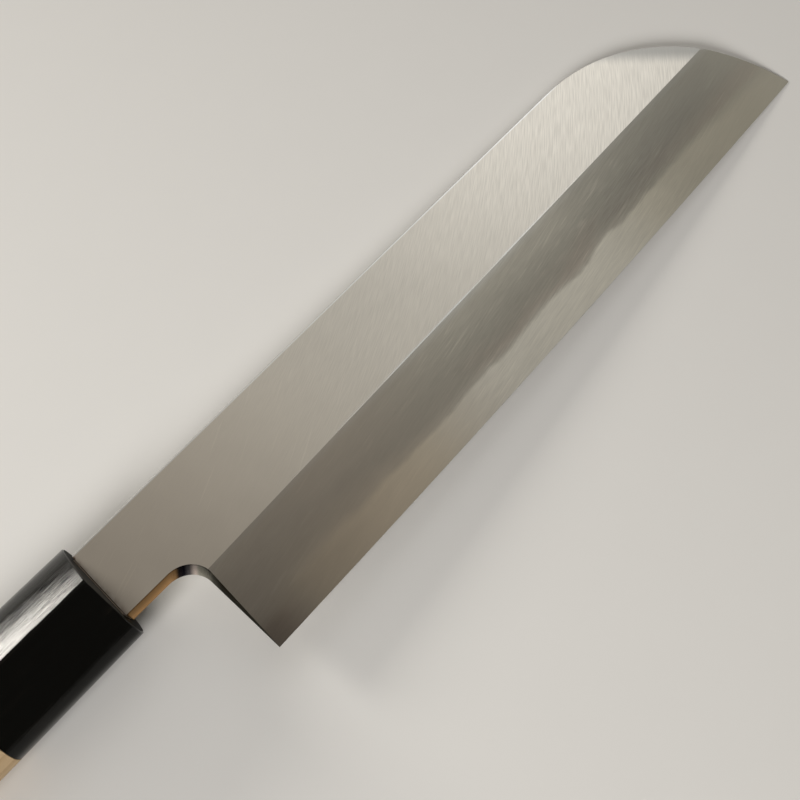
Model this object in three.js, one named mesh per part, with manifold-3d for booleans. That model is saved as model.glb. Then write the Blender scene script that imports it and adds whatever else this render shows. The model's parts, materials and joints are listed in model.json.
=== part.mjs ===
// A single-bevel vegetable knife (usuba) with a sickle-shaped tip and a ridged wooden handle.
// Units are millimetres. The knife lies on its hollow back, as it is set down on a table:
// +X runs to the tip, +Y to the spine and +Z up.
//
// The blade is drawn in its own frame: x from the heel corner along the edge to the tip,
// y from the edge to the spine, z from the flat back to the bevelled face.
// The handle is drawn in a frame on its axis: x = 0 on the ferrule's front, the butt at -x.

import * as THREE from "three";
import { mergeVertices } from "three/addons/utils/BufferGeometryUtils.js";
import Module from "manifold-3d";

// Blade outline
const EDGE_LENGTH = 172; // heel corner to tip corner
const HEEL_HEIGHT = 45; // edge to spine at the heel
const SPINE_FALL = 1; // degrees that the spine falls towards the tip
const EDGE_BELLY = 0.75; // how far the middle of the edge bows out
const TIP_RUN = 37.1; // length of the sickle curve, measured along the edge
const TIP_TOP_PULL = 27.5; // how long the curve keeps the spine's direction
const TIP_END_PULL = 18.5; // how long it keeps square to the edge

// Blade thickness and grind
const THICKNESS_AT_HEEL = 3.7;
const THICKNESS_AT_MIDDLE = 3.2;
const THICKNESS_AT_TIP = 2.4;
const BEVEL_AT_HEEL = 20.8; // height of the ridge line above the edge
const BEVEL_AT_TIP = 21.2;
const EDGE_LAND = 0.12; // thickness left at the cutting edge
const EDGE_BREAK = 0.4; // chamfer along the spine and the tip

// Heel and neck
const NECK_LENGTH = 15.7; // heel corner to ferrule
const NECK_HEIGHT = 18.5; // at the ferrule
const NECK_FALL = 2; // degrees that the neck's underside falls towards the heel
const CHOIL_RADIUS = 6.5; // round between the neck and the heel
const HEEL_LEAN = 0.3; // degrees that the heel leans forward from the edge
const HEEL_SLANT = 21; // degrees that the heel's wall is ground out of square to the back

// Hollow of the back
const HOLLOW_RADIUS = 400; // grinding wheel's radius
const RIM_AT_EDGE = 1.6; // flat rims left around the hollow
const RIM_AT_SPINE = 3;
const RIM_AT_TIP = 3.2;
const RIM_AT_HEEL = 4;
const HOLLOW_ROUNDING = 14; // length of the hollow's round end at the heel
const HOLLOW_OVERRUN = 1; // how far the wheel passes the hollow's margin above the back

// Hard-steel layer
const STEEL_AT_HEEL = 1.33;
const STEEL_AT_TIP = 0.85;
const STEEL_BEHIND_HEEL = 5; // how far the steel reaches into the neck
// Waves that forging leaves in the weld: share of the edge's length, rise in millimetres.
const WELD_WAVES = [
  [0, 0], [0.08, 0.05], [0.15, 0.09], [0.18, -0.02], [0.22, 0.06], [0.25, 0], [0.33, -0.04], [0.4, 0],
  [0.44, -0.11], [0.52, 0.01], [0.56, -0.03], [0.6, -0.08], [0.65, 0.15], [0.69, 0.07], [0.82, 0.1],
  [0.87, 0.05], [0.91, 0.01], [1, -0.02],
];

// Tang
const TANG_LENGTH = 96;
const TANG_END_HEIGHT = 6.5;
const TANG_END_THICKNESS = 2;
const TANG_STEP = 0.25; // step from the neck's faces down to the tang
const TANG_ROOT = 4; // length of the tang's root inside the neck

// Handle, a ridged oval that swells towards the butt
const HANDLE_LENGTH = 133; // ferrule included
const FERRULE_LENGTH = 32;
const HANDLE_RISE = 1.4; // degrees that the handle rises towards the butt
const HANDLE_SHIFT = -0.3; // handle's axis above the middle of the neck
const FRONT_HEIGHT = 25.4;
const BUTT_HEIGHT = 28.4;
const FRONT_RIDGE = 10; // axis to ridge
const BUTT_RIDGE = 11.3;
const FRONT_BACK = 9.4; // axis to the rounded back
const BUTT_BACK = 10.6;
const RIDGE_SHIFT = -1.3; // ridge above the axis
const FACET_FALL = 22; // degrees that the facets fall away from the ridge
const FACET_LENGTH = 7; // nearly flat stretch on each side of the ridge
const SIDE_LENGTH = 3.6; // nearly upright stretch of the sides, above the axis
const FERRULE_RIM = 0.25; // chamfer of the ferrule's front rim
const BUTT_RIM = 1.6; // chamfer of the butt's rim

// Tenon, slot and seal
const FERRULE_WALL = 2.6; // horn above and below the tenon
const FERRULE_FRONT = 3; // horn in front of the tenon
const TENON_THICKNESS = 12;
const SLOT_WALL = 4.25; // horn above and below the slot
const SLOT_MARGIN = 2; // resin above and below the tang
const SLOT_SIDE = 0.5; // resin beside the tang

// Clearances
const SEAT_GAP = 0.3; // neck's shoulder to the ferrule's front
const GLUE_GAP = 0.15; // ferrule, seal and tenon
const SOCKET_GAP = 0.3; // burnt-in socket round the tang
const SOCKET_RELIEF = 2; // socket beyond the tang's end

// Fineness of the curved surfaces
const EDGE_STATIONS = 17;
const TIP_STATIONS = 24;
const TIP_FACE = 0.03; // last share of the tip's curve, where it stands square to the edge
const CREST_SHARE = 0.97; // how near the tip's outline the ridge line comes before it follows it
const WELD_STATIONS = 88;
const HOLLOW_STATIONS = 26;
const HOLLOW_POINTS = 12;
const HOLLOW_LEAD = 0.7; // first station's distance from the hollow's round end
const CURVE_POINTS = 12; // points on each curve of a section
const CHOIL_POINTS = 22;

const OVERCUT = 4; // how far a cutting solid runs past what it cuts
const CLOSE = 1e-6; // lengths and shares below this count as nothing

const wasm = await Module();
wasm.setup();

const radians = THREE.MathUtils.degToRad;
const lerp = THREE.MathUtils.lerp;

// Solids

/** Closed solid of a geometry whose vertices are merged by position. */
function solidOf(geometry) {
  const bare = geometry.clone();
  bare.deleteAttribute("normal");
  bare.deleteAttribute("uv");
  const merged = mergeVertices(bare);
  return new wasm.Manifold(new wasm.Mesh({
    numProp: 3,
    vertProperties: new Float32Array(merged.attributes.position.array),
    triVerts: new Uint32Array(merged.index.array),
  }));
}

/** Geometry of a solid, with a normal for each flat face. */
function geometryOf(solid) {
  const { vertProperties, triVerts } = solid.getMesh();
  const geometry = new THREE.BufferGeometry();
  geometry.setAttribute("position", new THREE.BufferAttribute(vertProperties, 3));
  geometry.setIndex(new THREE.BufferAttribute(triVerts, 1));
  geometry.computeVertexNormals();
  return geometry;
}

/** Solid through rings of points, each counterclockwise seen from +X, in the order of rising x. */
function loft(rings) {
  const size = rings[0].length;
  const positions = rings.flat().flatMap((point) => point.toArray());
  const faces = [];
  for (let ring = 0; ring + 1 < rings.length; ring += 1) {
    for (let corner = 0; corner < size; corner += 1) {
      const next = (corner + 1) % size;
      const a = ring * size + corner;
      const b = ring * size + next;
      faces.push(a, b, b + size, a, b + size, a + size);
    }
  }
  const last = (rings.length - 1) * size;
  const flat = (ring) => ring.map((point) => new THREE.Vector2(point.y, point.z));
  for (const [a, b, c] of THREE.ShapeUtils.triangulateShape(flat(rings[0]), [])) {
    faces.push(a, c, b);
  }
  for (const [a, b, c] of THREE.ShapeUtils.triangulateShape(flat(rings.at(-1)), [])) {
    faces.push(last + a, last + b, last + c);
  }
  const geometry = new THREE.BufferGeometry();
  geometry.setAttribute("position", new THREE.Float32BufferAttribute(positions, 3));
  geometry.setIndex(faces);
  return solidOf(geometry);
}

/** Ring of a section, given as points of (y, z), at one x. */
function ringAt(x, points) {
  return points.map(({ x: y, y: z }) => new THREE.Vector3(x, y, z));
}

/** Points of a closed curve, without the last one where it repeats the first. */
function openRing(points) {
  return points[0].distanceTo(points.at(-1)) < CLOSE ? points.slice(0, -1) : points;
}

/** Rectangle of a height and a thickness about the axis, counterclockwise. */
function rectangle(height, thickness) {
  return [
    new THREE.Vector2(-height / 2, -thickness / 2),
    new THREE.Vector2(height / 2, -thickness / 2),
    new THREE.Vector2(height / 2, thickness / 2),
    new THREE.Vector2(-height / 2, thickness / 2),
  ];
}

// Blade: lines that its surfaces follow

const spineY = (x) => HEEL_HEIGHT - Math.tan(radians(SPINE_FALL)) * x;
const ridgeY = (x) => lerp(BEVEL_AT_HEEL, BEVEL_AT_TIP, x / EDGE_LENGTH);
const edgeY = (x) => -4 * EDGE_BELLY * (x / EDGE_LENGTH) * (1 - x / EDGE_LENGTH);

/** Thickness under the flat, a smooth taper through the three given values. */
function thickness(x) {
  const share = x / EDGE_LENGTH;
  return THICKNESS_AT_HEEL * (1 - share) * (1 - 2 * share)
    + THICKNESS_AT_MIDDLE * 4 * share * (1 - share)
    + THICKNESS_AT_TIP * share * (2 * share - 1);
}

/** Height of the face above the back: the flat, and below the ridge line the bevel. */
function faceZ(x, y) {
  const share = (y - edgeY(x)) / (ridgeY(x) - edgeY(x));
  return lerp(EDGE_LAND, thickness(x), Math.min(1, Math.max(0, share)));
}

const tipStart = new THREE.Vector2(EDGE_LENGTH - TIP_RUN, spineY(EDGE_LENGTH - TIP_RUN));
const spineDirection = new THREE.Vector2(Math.cos(radians(SPINE_FALL)), -Math.sin(radians(SPINE_FALL)));
const tipCurve = new THREE.CubicBezierCurve(
  tipStart,
  tipStart.clone().addScaledVector(spineDirection, TIP_TOP_PULL),
  new THREE.Vector2(EDGE_LENGTH, TIP_END_PULL),
  new THREE.Vector2(EDGE_LENGTH, 0),
);

/** Height of the upper outline at an x: the spine, then the sickle curve. */
function outlineTopY(x) {
  if (x <= tipStart.x) {
    return spineY(x);
  }
  let low = 0;
  let high = 1;
  while (high - low > CLOSE) {
    const middle = (low + high) / 2;
    if (tipCurve.getPoint(middle).x < x) {
      low = middle;
    } else {
      high = middle;
    }
  }
  return tipCurve.getPoint(low).y;
}

// Handle: its frame, seen from the blade, and its sections

const neckTop = spineY(-NECK_LENGTH);
const neckBottom = neckTop - NECK_HEIGHT;
const handleOrigin = new THREE.Vector3(
  -NECK_LENGTH,
  (neckTop + neckBottom) / 2 + HANDLE_SHIFT,
  THICKNESS_AT_HEEL / 2,
);
const handleTurn = new THREE.Matrix4()
  .makeRotationZ(-radians(HANDLE_RISE))
  .setPosition(handleOrigin);

const tenonHeight = FRONT_HEIGHT - 2 * (FERRULE_WALL + GLUE_GAP);
const slotHeight = FRONT_HEIGHT - 2 * SLOT_WALL;
const tangHeight = slotHeight - 2 * SLOT_MARGIN;
const tangThickness = THICKNESS_AT_HEEL - 2 * TANG_STEP;
const slotThickness = tangThickness + 2 * SLOT_SIDE;

/** Handle's section: two facets that meet in a ridge on the face side, and an oval back. */
function gripSection(x, inset = 0) {
  const along = -x / HANDLE_LENGTH;
  const half = lerp(FRONT_HEIGHT, BUTT_HEIGHT, along) / 2 - inset;
  const ridge = lerp(FRONT_RIDGE, BUTT_RIDGE, along) - inset;
  const back = lerp(FRONT_BACK, BUTT_BACK, along) - inset;
  const run = FACET_LENGTH * Math.cos(radians(FACET_FALL));
  const drop = FACET_LENGTH * Math.sin(radians(FACET_FALL));
  const pull = 0.5523; // a cubic curve's handle for a quarter of an oval
  const shape = new THREE.Shape();
  shape.moveTo(RIDGE_SHIFT, ridge);
  shape.bezierCurveTo(RIDGE_SHIFT - run, ridge - drop, -half, SIDE_LENGTH, -half, 0);
  shape.bezierCurveTo(-half, -back * pull, -half * pull, -back, 0, -back);
  shape.bezierCurveTo(half * pull, -back, half, -back * pull, half, 0);
  shape.bezierCurveTo(half, SIDE_LENGTH, RIDGE_SHIFT + run, ridge - drop, RIDGE_SHIFT, ridge);
  return openRing(shape.getPoints(CURVE_POINTS));
}

/** Round-ended section of the tenon, grown by a gap for the bore that takes it. */
function tenonSection(gap = 0) {
  const half = tenonHeight / 2 + gap;
  const radius = Math.min(TENON_THICKNESS / 2, tenonHeight / 2) + gap;
  const shape = new THREE.Shape();
  shape.absarc(half - radius, 0, radius, -Math.PI / 2, Math.PI / 2);
  shape.absarc(radius - half, 0, radius, Math.PI / 2, 1.5 * Math.PI);
  return openRing(shape.getPoints(CURVE_POINTS));
}

/** Tapered tang along the handle's axis, grown by a gap for the socket that takes it. */
function tangSolid(front, gap = 0, relief = 0) {
  const root = rectangle(tangHeight + 2 * gap, tangThickness + 2 * gap);
  const end = rectangle(TANG_END_HEIGHT + 2 * gap, TANG_END_THICKNESS + 2 * gap);
  return loft([
    ringAt(-TANG_LENGTH - relief, end),
    ringAt(0, root),
    ringAt(front, root),
  ]);
}

// Blade: the ground blank, its cutters and its two layers

/** Blade's section at an x, under an upper outline at a given height, with its broken corners. */
function bladeSection(x, top) {
  const low = edgeY(x);
  const leg = Math.min(EDGE_BREAK, faceZ(x, top) / 4);
  const crest = Math.min(ridgeY(x), lerp(low, top - leg, CREST_SHARE));
  return ringAt(x, [
    new THREE.Vector2(low, 0),
    new THREE.Vector2(top - leg, 0),
    new THREE.Vector2(top, leg),
    new THREE.Vector2(top, faceZ(x, top) - leg),
    new THREE.Vector2(top - leg, faceZ(x, top - leg)),
    new THREE.Vector2(crest, faceZ(x, crest)),
    new THREE.Vector2(low, EDGE_LAND),
  ]);
}

/** Ground blade with the flat, the bevel, the taper and the sickle tip, still without its neck. */
function blankSolid() {
  const shoulder = bladeSection(-NECK_LENGTH, neckTop);
  for (const point of shoulder) {
    point.x += SEAT_GAP + Math.tan(radians(HANDLE_RISE)) * (point.y - handleOrigin.y);
  }
  const rings = [shoulder];
  for (let station = 0; station < EDGE_STATIONS; station += 1) {
    const x = tipStart.x * station / EDGE_STATIONS;
    rings.push(bladeSection(x, spineY(x)));
  }
  for (let station = 0; station < TIP_STATIONS; station += 1) {
    const point = tipCurve.getPoint((1 - TIP_FACE) * station / TIP_STATIONS);
    rings.push(bladeSection(point.x, point.y));
  }
  rings.push(bladeSection(EDGE_LENGTH, tipCurve.getPoint(1 - TIP_FACE).y));
  return loft(rings);
}

/** What is cut away below the neck and behind the heel, leaning through the thickness. */
function choilCutter() {
  const fall = radians(NECK_FALL);
  const heelX = (y) => Math.tan(radians(HEEL_LEAN)) * y;
  const undersideY = (x) => neckBottom - Math.tan(fall) * (x + NECK_LENGTH);
  const centreX = heelX(neckBottom - CHOIL_RADIUS) - CHOIL_RADIUS;
  const centreY = undersideY(centreX) - CHOIL_RADIUS / Math.cos(fall);
  const far = -NECK_LENGTH - HANDLE_LENGTH;
  const shape = new THREE.Shape();
  shape.moveTo(far, -OVERCUT);
  shape.lineTo(heelX(-OVERCUT), -OVERCUT);
  shape.absarc(centreX, centreY, CHOIL_RADIUS, 0, Math.PI / 2 - fall);
  shape.lineTo(far, undersideY(far));
  const low = -OVERCUT;
  const high = THICKNESS_AT_HEEL + OVERCUT;
  const geometry = new THREE.ExtrudeGeometry(shape, {
    depth: high - low,
    bevelEnabled: false,
    curveSegments: CHOIL_POINTS,
  });
  geometry.translate(0, 0, low);
  const slant = Math.tan(radians(HEEL_SLANT));
  geometry.applyMatrix4(new THREE.Matrix4().makeShear(0, 0, 0, 0, slant, 0));
  return solidOf(geometry);
}

/** Shallow hollow ground into the back, inside its flat rims. */
function hollowCutter() {
  const start = RIM_AT_HEEL;
  const end = EDGE_LENGTH - 2 * RIM_AT_TIP;
  const rings = [];
  for (let station = 0; station <= HOLLOW_STATIONS; station += 1) {
    const eased = Math.sin((station / HOLLOW_STATIONS) * Math.PI / 2);
    const x = lerp(start + HOLLOW_LEAD, end, (station / HOLLOW_STATIONS + eased) / 2);
    const rounding = Math.min(1, (x - start) / HOLLOW_ROUNDING);
    const opening = Math.sqrt(1 - (1 - rounding) ** 2);
    const low = edgeY(x) + RIM_AT_EDGE;
    const high = Math.min(spineY(x) - RIM_AT_SPINE, outlineTopY(x + RIM_AT_TIP) - RIM_AT_TIP);
    const middle = (low + high) / 2;
    const half = (high - low) / 2 * opening;
    const reach = half + HOLLOW_OVERRUN;
    const section = [
      new THREE.Vector2(middle - reach, -OVERCUT),
      new THREE.Vector2(middle + reach, -OVERCUT),
    ];
    for (let point = 0; point <= HOLLOW_POINTS; point += 1) {
      const y = middle + reach * (1 - 2 * point / HOLLOW_POINTS);
      const depth = (half ** 2 - (y - middle) ** 2) / (2 * HOLLOW_RADIUS);
      section.push(new THREE.Vector2(y, depth));
    }
    rings.push(ringAt(x, section));
  }
  return loft(rings);
}

/** Space behind the wavy weld, which the hard steel takes up. */
function weldSolid() {
  const steel = (x) => lerp(STEEL_AT_HEEL, STEEL_AT_TIP, x / EDGE_LENGTH);
  const knots = WELD_WAVES.map(([share, rise]) => new THREE.Vector2(
    share * EDGE_LENGTH,
    steel(share * EDGE_LENGTH) + rise,
  ));
  const line = new THREE.SplineCurve(knots).getPoints(WELD_STATIONS);
  line.unshift(new THREE.Vector2(-STEEL_BEHIND_HEEL, steel(-STEEL_BEHIND_HEEL)));
  line.push(new THREE.Vector2(EDGE_LENGTH + OVERCUT, line.at(-1).y));
  const low = -EDGE_BELLY - OVERCUT;
  const high = HEEL_HEIGHT + OVERCUT;
  return loft(line.map(({ x, y: z }) => ringAt(x, [
    new THREE.Vector2(low, -OVERCUT),
    new THREE.Vector2(high, -OVERCUT),
    new THREE.Vector2(high, z),
    new THREE.Vector2(low, z),
  ])));
}

/** Soft-iron and hard-steel layers of the blade; the iron runs on into the tang. */
function bladeLayers() {
  const blade = blankSolid().subtract(choilCutter()).subtract(hollowCutter());
  const weld = weldSolid();
  const tang = solidOf(geometryOf(tangSolid(TANG_ROOT)).applyMatrix4(handleTurn));
  return {
    iron: geometryOf(blade.subtract(weld).add(tang)),
    steel: geometryOf(blade.intersect(weld)),
  };
}

// Handle pieces

/** Horn cap with a chamfered front rim, a bore for the tenon and a slot for the tang in its front. */
function ferruleGeometry() {
  const outside = loft([
    ringAt(-FERRULE_LENGTH, gripSection(-FERRULE_LENGTH)),
    ringAt(-FERRULE_RIM, gripSection(-FERRULE_RIM)),
    ringAt(0, gripSection(0, FERRULE_RIM)),
  ]);
  const bore = loft([
    ringAt(-FERRULE_LENGTH - OVERCUT, tenonSection(GLUE_GAP)),
    ringAt(-FERRULE_FRONT, tenonSection(GLUE_GAP)),
  ]);
  const slot = loft([
    ringAt(-FERRULE_FRONT - OVERCUT, rectangle(slotHeight, slotThickness)),
    ringAt(OVERCUT, rectangle(slotHeight, slotThickness)),
  ]);
  return geometryOf(outside.subtract(bore).subtract(slot));
}

/** Wooden handle with the tenon that fills the ferrule and the tang's socket. */
function handleGeometry() {
  const shoulder = -FERRULE_LENGTH - GLUE_GAP;
  const grip = loft([
    ringAt(-HANDLE_LENGTH, gripSection(-HANDLE_LENGTH, BUTT_RIM)),
    ringAt(-HANDLE_LENGTH + BUTT_RIM, gripSection(-HANDLE_LENGTH + BUTT_RIM)),
    ringAt(shoulder, gripSection(shoulder)),
  ]);
  const tenon = loft([
    ringAt(shoulder - OVERCUT, tenonSection()),
    ringAt(-FERRULE_FRONT - GLUE_GAP, tenonSection()),
  ]);
  const socket = tangSolid(OVERCUT, SOCKET_GAP, SOCKET_RELIEF);
  return geometryOf(grip.add(tenon).subtract(socket));
}

/** Resin plug that closes the slot round the tang. */
function sealGeometry() {
  const plug = rectangle(slotHeight - 2 * GLUE_GAP, slotThickness - 2 * GLUE_GAP);
  const plate = loft([
    ringAt(-FERRULE_FRONT, plug),
    ringAt(0, plug),
  ]);
  return geometryOf(plate.subtract(tangSolid(OVERCUT, GLUE_GAP)));
}

// Assembly

function piece(name, geometry, color, roughness, metalness) {
  const material = new THREE.MeshStandardMaterial({ color, roughness, metalness });
  const mesh = new THREE.Mesh(geometry, material);
  mesh.name = name;
  return mesh;
}

const layers = bladeLayers();
const knife = new THREE.Group();
knife.add(piece("blade_iron", layers.iron, 0xb4b0aa, 0.38, 1));
knife.add(piece("blade_steel", layers.steel, 0xc2bdb2, 0.25, 1));

const handle = new THREE.Group();
handle.applyMatrix4(handleTurn);
handle.add(piece("ferrule", ferruleGeometry(), 0x1c1b1a, 0.35, 0));
handle.add(piece("handle", handleGeometry(), 0xd9bd8e, 0.7, 0));
handle.add(piece("tang_seal", sealGeometry(), 0x5a3a22, 0.5, 0));
knife.add(handle);

/** Angle at which the tip and the underside of the handle both touch the table. */
function restingAngle() {
  const tip = new THREE.Vector3(EDGE_LENGTH, 0, 0);
  const point = new THREE.Vector3();
  let slope = 0;
  for (const mesh of handle.children) {
    const position = mesh.geometry.attributes.position;
    for (let index = 0; index < position.count; index += 1) {
      point.fromBufferAttribute(position, index).applyMatrix4(handleTurn);
      slope = Math.max(slope, (tip.z - point.z) / (tip.x - point.x));
    }
  }
  return Math.atan(slope);
}

knife.rotation.y = restingAngle();
knife.updateMatrixWorld(true);
const extent = new THREE.Box3().setFromObject(knife, true);
const middle = extent.getCenter(new THREE.Vector3());
knife.position.set(-middle.x, -middle.y, -extent.min.z);

const part = new THREE.Group();
part.add(knife);
part.updateMatrixWorld(true);

export default part;
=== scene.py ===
"""Looks of a single-bevel vegetable knife with a sickle-shaped tip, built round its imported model.

The knife lies on its hollow back on a pale floor. Lengths are in metres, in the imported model's frame;
the patterns on the blade and the handle are laid out in millimetres, in those pieces' own frames.
"""

import json
import math

import bmesh
import bpy
from bpy.props import FloatProperty, FloatVectorProperty, PointerProperty
from mathutils import Matrix, Vector

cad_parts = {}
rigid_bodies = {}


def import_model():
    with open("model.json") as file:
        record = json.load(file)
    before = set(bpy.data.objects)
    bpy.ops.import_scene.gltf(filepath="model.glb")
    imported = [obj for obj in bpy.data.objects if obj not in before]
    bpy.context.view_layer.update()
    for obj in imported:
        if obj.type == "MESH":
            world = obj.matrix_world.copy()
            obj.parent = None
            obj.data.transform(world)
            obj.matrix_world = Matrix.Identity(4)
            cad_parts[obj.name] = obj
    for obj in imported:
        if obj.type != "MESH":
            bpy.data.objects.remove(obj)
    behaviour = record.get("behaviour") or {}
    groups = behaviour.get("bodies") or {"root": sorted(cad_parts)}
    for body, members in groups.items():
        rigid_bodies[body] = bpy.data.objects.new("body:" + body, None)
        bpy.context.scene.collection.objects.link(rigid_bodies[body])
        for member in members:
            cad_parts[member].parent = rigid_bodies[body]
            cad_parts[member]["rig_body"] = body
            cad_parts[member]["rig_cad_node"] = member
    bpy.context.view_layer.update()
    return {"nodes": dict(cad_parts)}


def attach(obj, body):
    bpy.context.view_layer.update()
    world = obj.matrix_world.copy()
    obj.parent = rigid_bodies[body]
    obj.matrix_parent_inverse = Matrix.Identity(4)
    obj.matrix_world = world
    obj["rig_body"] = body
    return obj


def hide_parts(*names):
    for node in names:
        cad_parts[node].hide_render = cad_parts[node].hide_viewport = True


bl_info = {
    "name": "Usuba knife looks",
    "version": (1, 0, 0),
    "blender": (4, 5, 0),
    "location": "View3D > Sidebar > Knife",
    "description": "Dresses the packed usuba knife: blade, horn ferrule, wooden handle, resin and stage",
    "category": "Object",
}

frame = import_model()

MM = 0.001
BODY = "root"
COLOUR = {"size": 3, "min": 0, "max": 1, "subtype": "COLOR"}  # what all colour settings share

# Joining and smoothing of the meshes
CLOSE = 1e-6  # corners nearer than this are one
SAME_PLANE = math.radians(0.02)  # faces that turn less than this are one
NEAR_PLANE = math.radians(0.5)  # the same, for the blade's front beside the neck
BLADE_SMOOTH = math.radians(34.0)  # sharper corners of the blade stay sharp
HANDLE_SMOOTH = math.radians(28.0)
RESIN_SMOOTH = math.radians(40.0)

# Tests that tell the blade's faces apart; a tilt or a lean is a part of a face's unit normal
FRONT_TILT = 0.97  # least rise of a face on the blade's front, and on its back the other way round
BEVEL_TILT = -0.05  # a front face that leans further to the edge is on the bevel
RIM_TILT = 0.99999  # the back's rims are flat to this
RIM_DEPTH = 0.00003  # and lie no deeper than this
WALL_TILT = 0.6  # a wall rises or dips less than this
WALL_LEAN = -0.3  # and leans at least this far to the edge or to the handle
TANG_MARGIN = 0.0009  # a face whose middle lies less than this in front of the ferrule is the tang's

# Tests that tell the faces and edges of the handle pieces apart; angles are in radians
END_TILT = 0.9  # an end faces along the handle at least this much
CUT_TILT = 0.95  # and the dull part of the horn's ends this much
RIDGE_TILT = 0.7  # the faces beside the ridge rise at least this much
RIDGE_ANGLE = 0.5  # and meet at no less than this
RIM_ANGLE = 0.35  # the faces at a rim meet at no less than this
OUTER_REACH = 0.004  # an outer face lies at least this far from the handle's axis
LENGTHWISE = 0.9  # least share of a lengthwise edge that runs along the handle
CROSSWISE = 0.2  # most of a crosswise one

# Places on the blade, in millimetres from the heel corner, along the edge and up from it
GRAIN_CENTRE = (-53.0, 272.0)  # centre of the arcs on which the flat's grain runs
GRAIN_RADIUS = 290.0
ROLL_FROM = (152.1, 38.4)  # line across the tip past which the flat's roll-over is painted as shade
ROLL_TO = (164.4, 20.8)
ROLL_SHADE_SPAN = (-2.7, 2.0)  # the painted shade of the roll begins and is full this far past that line
RIDGE_HEIGHT = (20.8, 21.2)  # height of the ridge line at the heel and at the tip
RISE_HIGHLIGHT_SPAN = (11.0, 20.5)  # heights between which the bevel brightens with a painted highlight
VERGE_HIGHLIGHT_SPAN = (19.0, 21.2)  # heights between which it takes on the ridge line's painted highlight colour
WELD_TOP = 12.0  # the weld line stays below this height
SPINE_CORNER = 44.6  # height of the spine's corner over the heel
SPINE_FALL = math.radians(1.0)  # how the spine falls towards the tip
STAIN_PLACE = (-15.5, 44.3)
STAIN_SPAN = (0.85, 0.35)  # the stain begins and is full this far from its middle
BLOOM_SPAN = (-14.2, -15.6)  # the brown bloom along the joint begins and is full here
SMOKE_ALONG = (11.0, 1.5)  # the smoke at the heel corner begins and is full here, along the edge
SMOKE_UP = (6.2, 3.2)  # and up from it
HEEL_END = (6.0, 32.0)  # the walls of the neck, choil and heel end here
HOLLOW_END = (24.0, 21.4)  # middle of the round end of the back's hollow
HOLLOW_REACH = (17.5, 20.0)  # how far that end reaches along the blade and across it
WHEEL_TURN = 78.0  # degrees between the hollow's wheel marks and the edge
CHOIL_TURN = math.radians(225.0)  # angle that the painted reflections round the choil cover
CHOIL_LEAD = math.radians(75.0)  # they begin this far before the direction of the tip

# Tints of the blade
HEEL_WARMTH = (1.0, 0.977, 0.95)  # how the flat warms towards the heel
BEVEL_WARMTH = (1.0, 0.94, 0.915)  # how the bevel warms towards the heel
EDGE_WARMTH = (1.0, 0.95, 0.835)  # how the hard steel warms towards its ends
SMOKE_TINT = (1.0, 0.955, 0.95)  # brown smoke on the iron along the weld and at the heel corner
WALL_TINT = (0.4, 0.39, 0.38)  # how the walls of the neck, choil and heel mirror at a low angle
STAIN_COLOUR = (0.10, 0.045, 0.02)
SCALE_DARK = (0.055, 0.05, 0.047)  # forge scale on the tang
SCALE_LIGHT = (0.16, 0.14, 0.125)

# Horn and wood
HORN_IOR = 1.54
TREE_HEART = (21.0, 46.0)  # how far the tree's heart lies off the handle's axis, in millimetres
HEART_DRIFT = (5.0, 4.0)  # how far it wanders along the handle
RING_COUNT = 0.42  # growth rings in a millimetre

# Floor, lights and camera
FLOOR_SIZE = 24.0
LIGHT_SPREAD = math.radians(70.0)
KEY_PLACE = (-0.95, -0.35, 0.6)
KEY_AIM = (0.0, 0.0, 0.0)
KEY_SIZE = 0.5
KEY_COLOUR = (1.0, 0.98, 0.95)
RIDGE_PLACE = (-0.22, 0.91, 0.3)
RIDGE_AIM = (-0.04, 0.0, 0.02)
RIDGE_SIZE = 0.28
RIDGE_COLOUR = (1.0, 0.96, 0.88)
SENSOR_WIDTH = 36.0  # in millimetres
CLIP_NEAR = 0.01
CLIP_FAR = 20.0

# Settings that a user would change


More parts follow.
